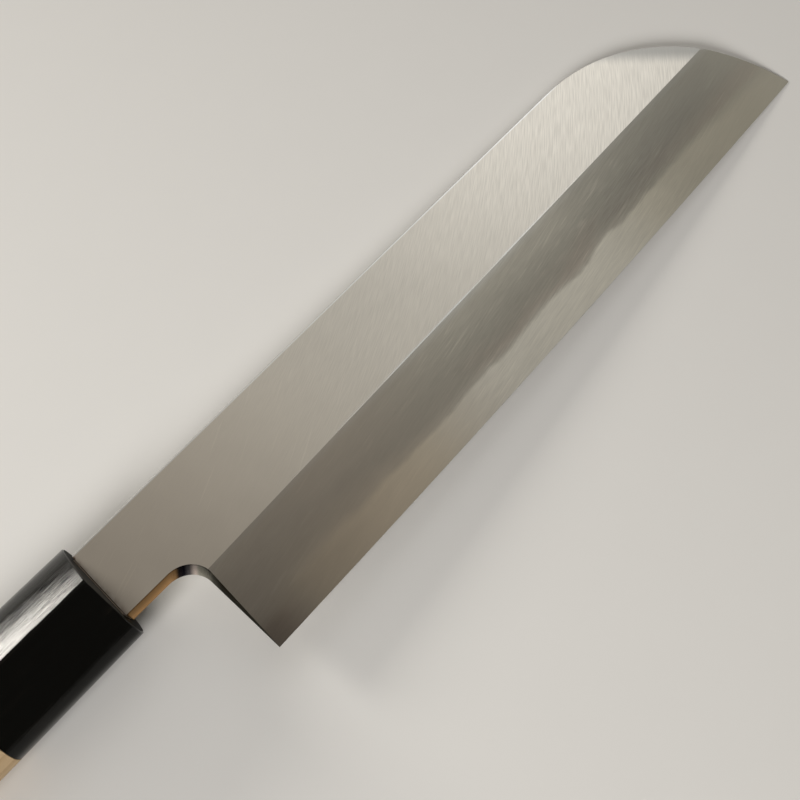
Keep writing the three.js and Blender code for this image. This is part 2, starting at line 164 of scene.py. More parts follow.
class KnifeSizes(bpy.types.PropertyGroup):
    """Places and small sizes of the knife's forms."""

    rest_pitch: FloatProperty(
        name="Rest pitch",
        description="How far the blade dips towards the tip as the knife lies on its back",
        default=math.radians(2.301037), subtype="ANGLE")
    heel_corner: FloatVectorProperty(
        name="Heel corner",
        description="Where the blade's edge and back meet at the heel",
        default=(-0.01146644, -0.02618116, 0.00690578), subtype="TRANSLATION", unit="LENGTH")
    ferrule_front: FloatVectorProperty(
        name="Ferrule front",
        description="Middle of the ferrule's front, seen from the heel corner along the blade",
        default=(-0.0157, 0.035724, 0.00185), subtype="TRANSLATION", unit="LENGTH")
    handle_rise: FloatProperty(
        name="Handle rise",
        description="How far the handle rises towards the butt",
        default=math.radians(1.4), subtype="ANGLE")
    edge_length: FloatProperty(
        name="Edge length",
        description="Heel corner to tip corner",
        default=0.172, unit="LENGTH")
    neck_length: FloatProperty(
        name="Neck length",
        description="Heel corner to ferrule",
        default=0.0157, unit="LENGTH")
    choil_centre: FloatVectorProperty(
        name="Choil centre",
        description="Centre of the round between the neck and the heel, seen from the heel corner",
        default=(-0.00639, 0.019945, 0.0), subtype="TRANSLATION", unit="LENGTH")
    heel_slant: FloatProperty(
        name="Heel slant",
        description="How far the walls of the choil and the heel lean out of square to the back",
        default=math.radians(21.0), subtype="ANGLE")
    shinogi_rounding: FloatProperty(
        name="Shinogi rounding",
        description="Softening of the ridge between the flat and the bevel",
        default=0.00005, unit="LENGTH")
    choil_rounding: FloatProperty(
        name="Choil rounding",
        description="Softening of the corners along the neck, the choil and the heel",
        default=0.00016, unit="LENGTH")
    ridge_rounding: FloatProperty(
        name="Handle ridge rounding",
        description="Softening of the ridge along the ferrule and the handle",
        default=0.0005, unit="LENGTH")
    front_rounding: FloatProperty(
        name="Front rounding",
        description="Softening of the ferrule's front rim",
        default=0.0002, unit="LENGTH")
    butt_rounding: FloatProperty(
        name="Butt rounding",
        description="Softening of the butt's rim",
        default=0.0003, unit="LENGTH")
    bead_length: FloatProperty(
        name="Resin bead",
        description="How far the resin stands out of the slot beside the neck",
        default=0.00012, unit="LENGTH")


class KnifeFinishes(bpy.types.PropertyGroup):
    """Colours of the knife's finishes."""

    flat_steel: FloatVectorProperty(
        name="Satin flat",
        description="Warm light grey of the satin flat above the ridge line",
        default=(0.74, 0.70, 0.63), **COLOUR)
    # Painted highlight colour of the ridge line and the spine; it also cools the painted shade of the rolled
    # tip
    painted_light_colour: FloatVectorProperty(
        name="Ridge line",
        description="Cool bright line where the flat meets the bevel, and along the spine",
        default=(0.72, 0.73, 0.72), **COLOUR)
    bevel_iron: FloatVectorProperty(
        name="Misted iron",
        description="Dull grey of the soft iron on the bevel",
        default=(0.466, 0.447, 0.389), **COLOUR)
    edge_steel: FloatVectorProperty(
        name="Edge steel",
        description="Lighter hard steel along the edge",
        default=(0.888, 0.86, 0.768), **COLOUR)
    polished_steel: FloatVectorProperty(
        name="Polished steel",
        description="Walls of the spine and the tip",
        default=(0.60, 0.58, 0.55), **COLOUR)
    # Painted warm reflection under the neck, shown as a tan colour
    painted_warm_reflection: FloatVectorProperty(
        name="Straw tint",
        description="Tan temper colour under the neck",
        default=(0.45, 0.275, 0.135), **COLOUR)
    back_steel: FloatVectorProperty(
        name="Hollow back",
        description="Ground hollow and rims of the back",
        default=(0.70, 0.675, 0.63), **COLOUR)
    horn: FloatVectorProperty(
        name="Horn",
        description="Near-black buffalo horn",
        default=(0.0034, 0.0034, 0.0028), **COLOUR)
    horn_streak: FloatVectorProperty(
        name="Horn streaks",
        description="Brownish lengthwise streaks in the horn",
        default=(0.012, 0.010, 0.007), **COLOUR)
    wood: FloatVectorProperty(
        name="Pale wood",
        description="Light part of the wood's grain",
        default=(0.57, 0.41, 0.235), **COLOUR)
    wood_grain: FloatVectorProperty(
        name="Wood grain",
        description="Darker lines of the wood's grain",
        default=(0.40, 0.265, 0.135), **COLOUR)
    resin: FloatVectorProperty(
        name="Resin",
        description="Brown resin round the tang",
        default=(0.40, 0.31, 0.235), **COLOUR)


class KnifeStage(bpy.types.PropertyGroup):
    """Floor, lights and camera."""

    floor: FloatVectorProperty(
        name="Floor",
        description="Pale floor",
        default=(0.80, 0.79, 0.77), **COLOUR)
    air: FloatVectorProperty(
        name="Air",
        description="Colour of the soft light from all round",
        default=(1.0, 1.0, 1.0), **COLOUR)
    air_strength: FloatProperty(
        name="Air strength",
        description="Brightness of the soft light from all round",
        default=1.0, min=0)
    glow_aim: FloatVectorProperty(
        name="Glow",
        description="Direction in which the air glows brightest",
        default=(0.60, 0.50, 0.62), subtype="DIRECTION")
    key_light: FloatProperty(
        name="Key light",
        description="Soft light behind the camera, which brightens the floor",
        default=1.9, min=0, unit="POWER")
    ridge_light: FloatProperty(
        name="Ridge light",
        description="Low light beyond the spine, which streaks along the ferrule",
        default=0.95, min=0, unit="POWER")
    camera_place: FloatVectorProperty(
        name="Camera place",
        description="Where the camera stands",
        default=(-0.0000924, -0.0915339, 0.1960957), subtype="TRANSLATION", unit="LENGTH")
    camera_turn: FloatVectorProperty(
        name="Camera turn",
        description="How the camera is turned",
        default=(math.radians(24.0359), math.radians(9.8027), math.radians(-48.1838)),
        subtype="EULER", unit="ROTATION")
    lens: FloatProperty(
        name="Lens",
        description="Focal length on a 36 mm wide sensor, in millimetres",
        default=45.0, min=1)


# Frames of the blade and the handle


def blade_frame():
    """Blade's own frame: x along the edge, y from the edge to the spine, z off the back."""
    sizes = bpy.context.scene.knife_sizes
    return Matrix.Translation(sizes.heel_corner) @ Matrix.Rotation(sizes.rest_pitch, 4, "Y")


def handle_frame():
    """Handle's own frame: x along its axis, zero on the ferrule's front, y to the spine side."""
    sizes = bpy.context.scene.knife_sizes
    front = Matrix.Translation(sizes.ferrule_front) @ Matrix.Rotation(-sizes.handle_rise, 4, "Z")
    return blade_frame() @ front


# Selecting and shaping


def deselect_all():
    """Nothing stays selected, and no mesh is open."""
    if bpy.context.mode != "OBJECT":
        bpy.ops.object.mode_set(mode="OBJECT")
    bpy.ops.object.select_all(action="DESELECT")


def merged_copy(node_name, piece_name):
    """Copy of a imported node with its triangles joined, left open in edit mode."""
    deselect_all()
    node = frame["nodes"][node_name]
    node.select_set(True)
    bpy.context.view_layer.objects.active = node
    bpy.ops.object.duplicate()
    piece = bpy.context.active_object
    if piece == node:
        raise RuntimeError(f"{node_name} wasn't copied")
    piece.name = piece_name
    piece.data.name = piece_name
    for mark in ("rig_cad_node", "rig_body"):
        if mark in piece:
            del piece[mark]
    piece.data.materials.clear()
    bpy.ops.mesh.customdata_custom_splitnormals_clear()
    bpy.ops.object.mode_set(mode="EDIT")
    bpy.ops.mesh.select_all(action="SELECT")
    bpy.ops.mesh.remove_doubles(threshold=CLOSE)
    bpy.ops.mesh.dissolve_limited(angle_limit=SAME_PLANE)
    return piece


def pick(piece, kind, wanted):
    """Selects the edges or the faces of the open mesh that pass a test, and only those; tells how many."""
    bpy.ops.mesh.select_mode(type=kind)
    bpy.ops.mesh.select_all(action="DESELECT")
    mesh = bmesh.from_edit_mesh(piece.data)
    items = mesh.edges if kind == "EDGE" else mesh.faces
    found = [item for item in items if wanted(item)]
    for item in found:
        item.select_set(True)
    mesh.select_flush_mode()
    bmesh.update_edit_mesh(piece.data)
    return len(found)


def pick_edges(piece, wanted):
    """Selects the edges between two faces that pass a test; there has to be one."""
    if not pick(piece, "EDGE", lambda edge: len(edge.link_faces) == 2 and wanted(edge)):
        raise RuntimeError(f"{piece.name} has no edge of the kind that is shaped next")


def paint(piece, finishes):
    """Gives each face of the open mesh the first finish whose test it passes."""
    for material, _ in finishes:
        piece.data.materials.append(material)
    for index in reversed(range(len(finishes))):
        if pick(piece, "FACE", finishes[index][1]):
            piece.active_material_index = index
            bpy.ops.object.material_slot_assign()


def close_up(piece, nodes, angle):
    """Ends a piece's shaping: smooth shading, its body and the nodes it stands for."""
    bpy.ops.mesh.select_mode(type="VERT")
    bpy.ops.mesh.select_all(action="SELECT")
    bpy.ops.mesh.remove_doubles(threshold=CLOSE)
    bpy.ops.mesh.normals_make_consistent(inside=False)
    bpy.ops.object.mode_set(mode="OBJECT")
    bpy.ops.object.shade_smooth_by_angle(angle=angle, keep_sharp_edges=True)
    bpy.ops.object.modifier_add(type="WEIGHTED_NORMAL")
    piece.modifiers[-1].keep_sharp = True
    piece.modifiers[-1].weight = 100
    bpy.ops.object.modifier_apply(modifier=piece.modifiers[-1].name)
    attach(piece, BODY)
    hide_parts(*nodes)


def soften_ridge(piece, rounding):
    """Rounds the sharp line that runs along the handle's face."""
    to_handle = handle_frame().inverted()
    turn = to_handle.to_3x3()

    def on_ridge(edge):
        ends = [to_handle @ corner.co for corner in edge.verts]
        run = ends[1] - ends[0]
        lengthwise = abs(run.x) > LENGTHWISE * run.length
        rising = all((turn @ face.normal).z > RIDGE_TILT for face in edge.link_faces)
        return lengthwise and rising and edge.calc_face_angle() > RIDGE_ANGLE

    pick_edges(piece, on_ridge)
    bpy.ops.mesh.bevel(offset=rounding, segments=4, profile=0.5, clamp_overlap=True)


def soften_rim(piece, rounding, end):
    """Rounds the outer corner at the front end (1) or the rear end (-1) of a handle piece."""
    to_handle = handle_frame().inverted()
    turn = to_handle.to_3x3()

    def outward(face):
        spot = to_handle @ face.calc_center_median()
        normal = turn @ face.normal
        return spot.y * normal.y + spot.z * normal.z > OUTER_REACH

    def on_rim(edge):
        ends = [to_handle @ corner.co for corner in edge.verts]
        run = ends[1] - ends[0]
        crosswise = abs(run.x) < CROSSWISE * run.length
        at_end = any((turn @ face.normal).x * end > END_TILT for face in edge.link_faces)
        outside = any(outward(face) for face in edge.link_faces)
        return crosswise and at_end and outside and edge.calc_face_angle() > RIM_ANGLE

    pick_edges(piece, on_rim)
    bpy.ops.mesh.bevel(offset=rounding, segments=3, profile=0.5, clamp_overlap=False)


# Nodes of the finishes


def feed(tree, socket, value):
    """Links a socket, or sets its value."""
    if isinstance(value, bpy.types.NodeSocket):
        tree.links.new(value, socket)
    else:
        socket.default_value = value


def add_node(tree, kind, **inputs):
    """New node with some of its inputs linked or set."""
    node = tree.nodes.new(f"ShaderNode{kind}")
    for name, value in inputs.items():
        feed(tree, node.inputs[name], value)
    return node


def new_finish(name):
    """Empty finish with its surface shader."""
    material = bpy.data.materials.new(name)
    material.use_nodes = True
    tree = material.node_tree
    tree.nodes.clear()
    shader = add_node(tree, "BsdfPrincipled")
    add_node(tree, "OutputMaterial", Surface=shader.outputs["BSDF"])
    return material, tree, shader


def dress(tree, shader, colour, rough, metal=0.0):
    """Gives a finish's shader its colour and roughness, and sets how metallic it is."""
    feed(tree, shader.inputs["Base Color"], colour)
    feed(tree, shader.inputs["Roughness"], rough)
    shader.inputs["Metallic"].default_value = metal


def calc(tree, operation, *values, clamp=False):
    """Result of a sum on numbers or sockets."""
    node = tree.nodes.new("ShaderNodeMath")
    node.operation = operation
    node.use_clamp = clamp
    for socket, value in zip(node.inputs, values):
        feed(tree, socket, value)
    return node.outputs[0]


def times(tree, first, *others):
    """Product of two or more numbers or sockets."""
    for other in others:
        first = calc(tree, "MULTIPLY", first, other)
    return first


def squares(tree, first, second):
    """Sum of two squares."""
    return calc(tree, "ADD", times(tree, first, first), times(tree, second, second))


def span(tree, value, low, high, start=0.0, end=1.0, steps="LINEAR"):
    """Number from low to high for a value from start to end."""
    numbers = {"Value": value, "From Min": start, "From Max": end, "To Min": low, "To Max": high}
    node = add_node(tree, "MapRange", **numbers)
    node.interpolation_type = steps
    return node.outputs["Result"]


def ease(tree, value, start, end, low=0.0, high=1.0):
    """Smooth step of a value from one number to another."""
    return span(tree, value, low, high, start, end, "SMOOTHSTEP")


def tint(tree, share, first, second, how="MIX"):
    """Colour between two colours, or between the first and its product with the second."""
    node = tree.nodes.new("ShaderNodeMix")
    node.data_type = "RGBA"
    node.blend_type = how
    feed(tree, node.inputs[0], share)
    for socket, colour in ((node.inputs[6], first), (node.inputs[7], second)):
        feed(tree, socket, colour if isinstance(colour, bpy.types.NodeSocket) else (*colour, 1.0))
    return node.outputs[2]


def dimmed(colour, factor):
    """Fixed colour made darker or lighter by a factor."""
    return [part * factor for part in colour]


def shade(tree, colour, factor):
    """Colour made darker or lighter by a factor that varies."""
    node = tree.nodes.new("ShaderNodeVectorMath")
    node.operation = "SCALE"
    feed(tree, node.inputs[0], colour)
    feed(tree, node.inputs["Scale"], factor)
    return node.outputs[0]


def place_in(tree, own_frame):
    """Place of a point in a piece's own frame, in millimetres: the vector and its three parts."""
    where = add_node(tree, "TexCoord")
    mapping = add_node(
        tree, "Mapping", Vector=where.outputs["Object"], Location=own_frame.to_translation(),
        Rotation=own_frame.to_euler(), Scale=(MM, MM, MM))
    mapping.vector_type = "TEXTURE"
    parts = add_node(tree, "SeparateXYZ", Vector=mapping.outputs["Vector"])
    return mapping.outputs["Vector"], *parts.outputs


def share_of_edge(tree, x):
    """Share of the edge's length, from 0 at the heel to 1 at the tip."""
    return calc(tree, "DIVIDE", x, bpy.context.scene.knife_sizes.edge_length / MM)


def noise(tree, place, scale=1.0, detail=2.0, roughness=0.5, distortion=0.0):
    """Cloudy pattern from 0 to 1."""
    look = {"Scale": scale, "Detail": detail, "Roughness": roughness, "Distortion": distortion}
    return add_node(tree, "TexNoise", Vector=place, **look).outputs["Fac"]


def streaks(tree, place, scale, turn=0.0, shift=(0.0, 0.0, 0.0), **look):
    """Cloudy pattern drawn out into lines: its place is turned about z, in degrees, and then stretched."""
    turned = add_node(tree, "VectorRotate", Vector=place, Angle=-math.radians(turn))
    turned.rotation_type = "Z_AXIS"
    stretched = add_node(tree, "Mapping", Vector=turned.outputs["Vector"], Location=shift, Scale=scale)
    return noise(tree, stretched.outputs["Vector"], **look)


def relief(tree, shader, height, depth, strength):
    """Fine relief of the surface; depth is in metres."""
    bump = add_node(tree, "Bump", Strength=strength, Distance=depth, Height=height)
    feed(tree, shader.inputs["Normal"], bump.outputs["Normal"])


def curve(tree, share, points, top=1.0):
    """Height over a share, through given points; none is higher than the top."""
    node = tree.nodes.new("ShaderNodeFloatCurve")
    line = node.mapping.curves[0]
    while len(line.points) < len(points):
        line.points.new(0.5, 0.5)
    for knot, (along, height) in zip(line.points, points):
        knot.location = (along, height / top)
        knot.handle_type = "AUTO_CLAMPED"
    node.mapping.update()
    feed(tree, node.inputs["Value"], share)
    return times(tree, node.outputs[0], top)


def ramp(tree, value, stops):
    """Colour over a value from 0 to 1, through given stops."""
    node = tree.nodes.new("ShaderNodeValToRGB")
    node.color_ramp.interpolation = "EASE"
    elements = node.color_ramp.elements
    while len(elements) < len(stops):
        elements.new(0.5)
    for element, (position, colour) in zip(elements, stops):
        element.position = position
        element.color = (*colour, 1.0)
    feed(tree, node.inputs[0], value)
    return node.outputs[0]


# Finishes of the blade


def satin_flat():
    """Satin flat: sweeping grain, a bright ridge line that is partly polish and partly painted highlight, a
    painted highlight on the spine, painted shade on the rolled tip, and stains at the neck.
    """
    colours = bpy.context.scene.knife_finishes
    material, tree, shader = new_finish("satin_flat")
    place, x, y, _ = place_in(tree, blade_frame())
    share = share_of_edge(tree, x)

    # Short strokes of grain on wide arcs, as a belt sweeps over the flat
    dx = calc(tree, "SUBTRACT", x, GRAIN_CENTRE[0])
    dy = calc(tree, "SUBTRACT", y, GRAIN_CENTRE[1])
    along = times(tree, calc(tree, "ARCTAN2", dy, dx), GRAIN_RADIUS)
    far = calc(tree, "SQRT", squares(tree, dx, dy))
    sweep = add_node(tree, "CombineXYZ", X=along, Y=far).outputs["Vector"]
    fine = streaks(tree, sweep, (0.2, 4.4, 1.0), detail=1.0, roughness=0.4)
    fine = ease(tree, fine, 0.28, 0.72)
    stroke = streaks(tree, sweep, (0.12, 1.7, 1.0), turn=5.0, shift=(7.0, 3.0, 0.0))
    stroke = ease(tree, stroke, 0.28, 0.72)
    stray = streaks(tree, sweep, (0.07, 2.0, 1.0), turn=-8.0, detail=0.0)
    scratch = ease(tree, stray, 0.72, 0.80)
    haze = noise(tree, place, scale=0.1, detail=3.0)

    # Painted shade where the flat rolls over towards the tip's round, past a line across the tip
    across = (Vector(ROLL_TO) - Vector(ROLL_FROM)).normalized()
    ahead = times(tree, calc(tree, "SUBTRACT", x, ROLL_FROM[0]), -across.y)
    past = calc(tree, "MULTIPLY_ADD", calc(tree, "SUBTRACT", y, ROLL_FROM[1]), across.x, ahead)
    roll_shade = ease(tree, past, *ROLL_SHADE_SPAN)

    # Soft bright line where the bevel's grinding meets the flat, along the blade's middle: partly a polished
    # strip, partly a painted highlight of the rounded ridge
    above = calc(tree, "SUBTRACT", y, span(tree, share, *RIDGE_HEIGHT))
    patchy = ease(tree, streaks(tree, place, (0.05, 0.2, 1.0), detail=1.0), 0.3, 0.6)
    run = curve(tree, share, (
        (0.0, 0.0), (0.15, 0.1), (0.3, 0.8), (0.45, 1.0), (0.6, 0.6), (0.75, 0.1), (1.0, 0.0)))
    line = times(tree, ease(tree, above, 0.55, 0.1), patchy, run)

    # Painted highlight along the spine's polished corner
    spine = calc(tree, "MULTIPLY_ADD", x, -math.tan(SPINE_FALL), SPINE_CORNER)
    spine_highlight = ease(tree, calc(tree, "SUBTRACT", y, spine), -0.4, -0.1)

    # Brown stain on the spine's corner at the ferrule, and a brown bloom along the joint
    stain_x = calc(tree, "SUBTRACT", x, STAIN_PLACE[0])
    stain_y = calc(tree, "SUBTRACT", y, STAIN_PLACE[1])
    stain = ease(tree, calc(tree, "SQRT", squares(tree, stain_x, stain_y)), *STAIN_SPAN)
    patches = ease(tree, noise(tree, place, scale=0.45), 0.35, 0.6)
    bloom = times(tree, ease(tree, x, *BLOOM_SPAN), patches)

    # Grain grows stronger towards the tip and fades in the painted shade of the roll
    grip = curve(tree, share, (
        (0.0, 0.18), (0.15, 0.35), (0.3, 1.0), (0.5, 1.2), (0.7, 2.0), (1.0, 2.2)), 2.2)
    grip = times(tree, grip, span(tree, roll_shade, 1.0, 0.25))
    grain = calc(tree, "ADD", span(tree, fine, -0.043, 0.043), span(tree, stroke, -0.009, 0.009))
    level = calc(tree, "MULTIPLY_ADD", grain, grip, span(tree, haze, 0.965, 1.035))
    # Scratches brighten the flat a little; the ridge line and the spine's painted highlight brighten it more
    for mark, gain in ((scratch, 0.05), (line, 0.2), (spine_highlight, 0.33)):
        level = calc(tree, "MULTIPLY_ADD", mark, gain, level)
    # Painted shade of the roll darkens the flat towards the tip's round
    level = times(tree, level, span(tree, roll_shade, 1.0, 0.57))
    colour = tint(tree, ease(tree, share, 0.35, 0.0), colours.flat_steel, HEEL_WARMTH, "MULTIPLY")
    # Painted highlights of the ridge and the spine, and the painted roll shade, take on the cool
    # painted-light colour
    painted_light_share = calc(tree, "MAXIMUM", calc(tree, "MAXIMUM", line, spine_highlight), times(tree, roll_shade, 0.4))
    colour = shade(tree, tint(tree, painted_light_share, colour, colours.painted_light_colour), level)
    colour = tint(tree, times(tree, bloom, 0.55), colour, colours.resin)
    colour = tint(tree, stain, colour, STAIN_COLOUR)
    rough = calc(tree, "MULTIPLY_ADD", line, -0.06, span(tree, haze, 0.27, 0.30))
    rough = calc(tree, "MULTIPLY_ADD", stain, 0.3, rough)
    dress(tree, shader, colour, rough, metal=1.0)
    return material


def weld_line():
    """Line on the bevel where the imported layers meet: share of the edge's length, height in millimetres."""
    sizes = bpy.context.scene.knife_sizes
    to_blade = blade_frame().inverted()
    turn = to_blade.to_3x3()
    mesh = bmesh.new()
    mesh.from_mesh(frame["nodes"]["blade_steel"].data)
    bmesh.ops.remove_doubles(mesh, verts=mesh.verts, dist=CLOSE)
    spots = {}
    for edge in mesh.edges:
        tilts = sorted((turn @ face.normal).y for face in edge.link_faces)
        fronts = all((turn @ face.normal).z > FRONT_TILT for face in edge.link_faces)
        if fronts and len(tilts) == 2 and tilts[0] < BEVEL_TILT < tilts[1]:
            for corner in edge.verts:
                spot = to_blade @ corner.co
                spots[min(1.0, max(0.0, spot.x / sizes.edge_length))] = spot.y / MM
    mesh.free()
    if len(spots) < 2:
        raise RuntimeError("the packed layers don't meet on the bevel")
    return sorted(spots.items())


def misted_bevel():
    """Bevel: dull misted iron above the weld line, lighter hard steel along the edge, fine stone lines, a
    painted highlight towards the ridge and painted shade towards the heel.
    """
    colours = bpy.context.scene.knife_finishes
    material, tree, shader = new_finish("misted_bevel")
    place, x, y, _ = place_in(tree, blade_frame())
    share = share_of_edge(tree, x)

    # Distance from the weld line, softer at the heel and the tip, with a smoky fringe on the iron's side
    weld = curve(tree, share, weld_line(), WELD_TOP)
    fringe = curve(tree, share, (
        (0.0, 0.0), (0.36, 0.1), (0.45, 0.5), (0.62, 0.4), (0.7, 0.0), (1.0, 0.0)))
    wobble = streaks(tree, place, (0.25, 0.4, 1.0), detail=3.0, roughness=0.6)
    off = calc(tree, "SUBTRACT", calc(tree, "SUBTRACT", y, weld), fringe)
    off = calc(tree, "MULTIPLY_ADD", calc(tree, "SUBTRACT", wobble, 0.5), 0.9, off)
    soft_heel = ease(tree, share, 0.32, 0.05, 1.0, 3.6)
    soft_tip = ease(tree, share, 0.74, 1.0, 1.0, 4.5)
    cross = calc(tree, "DIVIDE", off, calc(tree, "MAXIMUM", soft_heel, soft_tip))
    veil = ease(tree, cross, -0.2, 2.8, 0.0, 0.3)
    iron = calc(tree, "MULTIPLY_ADD", ease(tree, cross, -0.55, 0.6), 0.7, veil)

    # Mist that clouds the iron, and lines that the stone leaves a little across the edge
    cloud = streaks(tree, place, (0.05, 0.16, 1.0), detail=4.0, roughness=0.55)
    stone = streaks(tree, place, (0.2, 3.6, 1.0), turn=8.0, roughness=0.6)
    stray = streaks(tree, place, (0.13, 2.2, 1.0), turn=10.0, detail=0.0)
    scratch = times(tree, ease(tree, stray, 0.64, 0.76), ease(tree, cloud, 0.42, 0.6))
    grip = curve(tree, share, (
        (0.0, 0.5), (0.12, 0.5), (0.3, 0.8), (0.45, 2.0), (0.7, 1.9), (0.85, 0.9), (1.0, 0.6)), 2.0)
    lines = calc(tree, "MULTIPLY_ADD", scratch, 0.08, span(tree, stone, -0.12, 0.12))
    lines = times(tree, lines, span(tree, iron, 0.65, 1.0))

    # Hard steel stands out most in the middle of the edge and warms towards its ends
    contrast = curve(tree, share, (
        (0.0, 0.0), (0.05, 0.2), (0.1, 0.53), (0.2, 0.68), (0.35, 0.82), (0.45, 0.98),
        (0.6, 0.95), (0.7, 0.85), (0.8, 0.58), (0.87, 0.55), (1.0, 0.22)))
    warm = curve(tree, share, (
        (0.0, 1.0), (0.25, 0.8), (0.42, 0.0), (0.62, 0.1), (0.75, 0.6), (1.0, 1.0)))
    steel = tint(tree, warm, colours.edge_steel, EDGE_WARMTH, "MULTIPLY")
    steel = tint(tree, contrast, colours.bevel_iron, steel)
    colour = tint(tree, iron, steel, colours.bevel_iron)
    colour = tint(tree, ease(tree, share, 0.45, 0.15), colour, BEVEL_WARMTH, "MULTIPLY")

    # Brown smoke along the weld and at the heel corner
    by_weld = times(tree, ease(tree, off, -0.2, 1.6), ease(tree, off, 7.0, 3.0))
    reach = curve(tree, share, (
        (0.0, 0.0), (0.35, 0.2), (0.5, 1.0), (0.63, 0.9), (0.72, 0.4), (0.86, 0.7), (1.0, 0.7)))
    brown = times(tree, by_weld, ease(tree, cloud, 0.38, 0.55, 0.3, 1.0), reach)
    smoke = times(tree, ease(tree, x, *SMOKE_ALONG), ease(tree, y, *SMOKE_UP))
    for share_of_smoke in (brown, smoke):
        colour = tint(tree, share_of_smoke, colour, SMOKE_TINT, "MULTIPLY")

    # Painted highlight: the bevel brightens towards the ridge, where it rounds over into the flat, and takes
    # on the ridge line's painted highlight colour
    lift = curve(tree, share, (
        (0.0, 0.2), (0.12, 0.12), (0.26, 0.1), (0.5, 0.26), (0.7, 0.25), (0.87, 0.18), (1.0, 0.05)))
    rise_highlight = calc(tree, "MULTIPLY_ADD", ease(tree, y, *RISE_HIGHLIGHT_SPAN), lift, 1.0)
    gleam = curve(tree, share, ((0.0, 0.1), (0.3, 0.2), (0.5, 0.35), (0.65, 0.2), (1.0, 0.15)))
    verge_highlight = times(tree, ease(tree, y, *VERGE_HIGHLIGHT_SPAN), gleam)
    colour = tint(tree, verge_highlight, colour, colours.painted_light_colour)
    # How misted the bevel looks along the blade, with painted shade that darkens it towards the heel
    mist_and_shade = curve(tree, share, (
        (0.0, 0.63), (0.06, 0.74), (0.12, 0.83), (0.18, 0.93), (0.27, 1.0), (0.35, 1.03),
        (0.6, 0.99), (0.7, 0.835), (0.87, 0.735), (1.0, 0.905)), 1.04)
    level = times(tree, mist_and_shade, span(tree, cloud, 0.93, 1.07), rise_highlight, span(tree, smoke, 1.0, 0.75))
    level = calc(tree, "MULTIPLY_ADD", lines, grip, level)
    rough = calc(tree, "ADD", span(tree, iron, 0.40, 0.46), span(tree, stone, -0.03, 0.03))
    dress(tree, shader, shade(tree, colour, level), rough, metal=1.0)
    relief(tree, shader, stone, 0.000003, 0.5)
    return material


def polished_walls(name, heel):
    """Polished walls: spine and tip, or neck, choil and heel with painted reflections round the choil, a
    painted warm reflection under the neck and painted shade towards the front corner.
    """
    colours = bpy.context.scene.knife_finishes
    sizes = bpy.context.scene.knife_sizes
    material, tree, shader = new_finish(name)
    place, x, y, z = place_in(tree, blade_frame())
    buff = streaks(tree, place, (2.6, 2.6, 0.4), detail=3.0, roughness=0.6)
    drawn = streaks(tree, place, (0.05, 2.0, 3.0))
    level = times(tree, span(tree, buff, 0.85, 1.12), span(tree, drawn, 0.95, 1.05))
    colour = tuple(colours.polished_steel)
    if heel:
        # Painted reflections round the choil from the edge to the neck: dull, a painted highlight, dark in
        # the bend, then a painted warm reflection in tan
        centre = Vector(sizes.choil_centre) / MM
        upright = calc(tree, "MULTIPLY_ADD", z, -math.tan(sizes.heel_slant), x)
        dx = calc(tree, "SUBTRACT", upright, centre.x)
        dy = calc(tree, "SUBTRACT", y, centre.y)
        angle = calc(tree, "ARCTAN2", dy, dx)
        share = calc(tree, "MULTIPLY_ADD", angle, 1.0 / CHOIL_TURN, CHOIL_LEAD / CHOIL_TURN)
        colour = ramp(tree, share, (
            (0.21, (0.05, 0.05, 0.045)),
            (0.30, (0.11, 0.11, 0.098)),
            (0.36, (0.28, 0.275, 0.24)),
            (0.45, (0.38, 0.37, 0.32)),
            (0.485, (0.66, 0.575, 0.53)),
            (0.54, (0.09, 0.085, 0.09)),
            (0.58, (0.014, 0.014, 0.018)),
            (0.62, (0.025, 0.022, 0.023)),
            (0.66, dimmed(colours.painted_warm_reflection, 0.7)),
            (0.71, colours.painted_warm_reflection),
        ))

        # Painted shade: lighter towards the back, darker towards the front corner and darkest at its rounding
        level = times(tree, level, ease(tree, z, 0.4, 3.0, 1.3, 0.75), ease(tree, z, 3.15, 3.45, 1.0, 0.5))
        shader.inputs["Specular Tint"].default_value = (*WALL_TINT, 1.0)
    dress(tree, shader, shade(tree, colour, level), span(tree, buff, 0.12, 0.24), metal=1.0)
    relief(tree, shader, buff, 0.000004, 0.4)
    return material


def ground_back(name, hollow):
    """Back of the blade: rims drawn bright on a fine stone, or the hollow with wheel marks."""
    colours = bpy.context.scene.knife_finishes
    material, tree, shader = new_finish(name)
    place, x, y, _ = place_in(tree, blade_frame())
    stone = streaks(tree, place, (0.05, 3.0, 1.0), turn=6.0, detail=3.0, roughness=0.6)
    level = span(tree, stone, 0.98, 1.16)
    rough = span(tree, stone, 0.14, 0.22)
    if hollow:
        wheel = streaks(tree, place, (0.05, 1.6, 1.0), turn=WHEEL_TURN)
        passes = streaks(tree, place, (0.02, 0.35, 1.0), turn=WHEEL_TURN)
        ground = times(tree, span(tree, wheel, 0.92, 1.07), span(tree, passes, 0.93, 1.07))

        # Round end of the hollow at the heel
        along = calc(tree, "DIVIDE", calc(tree, "SUBTRACT", HOLLOW_END[0], x), HOLLOW_REACH[0])
        along = calc(tree, "MAXIMUM", along, 0.0)
        across = calc(tree, "DIVIDE", calc(tree, "SUBTRACT", y, HOLLOW_END[1]), HOLLOW_REACH[1])
        out = squares(tree, along, across)
        inside = calc(tree, "MAXIMUM", ease(tree, out, 1.03, 0.99), ease(tree, along, 0.05, 0.0))
        level = calc(tree, "MULTIPLY_ADD", inside, calc(tree, "SUBTRACT", ground, level), level)
        duller = calc(tree, "SUBTRACT", span(tree, wheel, 0.26, 0.36), rough)
        rough = calc(tree, "MULTIPLY_ADD", inside, duller, rough)
    dress(tree, shader, shade(tree, tuple(colours.back_steel), level), rough, metal=1.0)
    return material


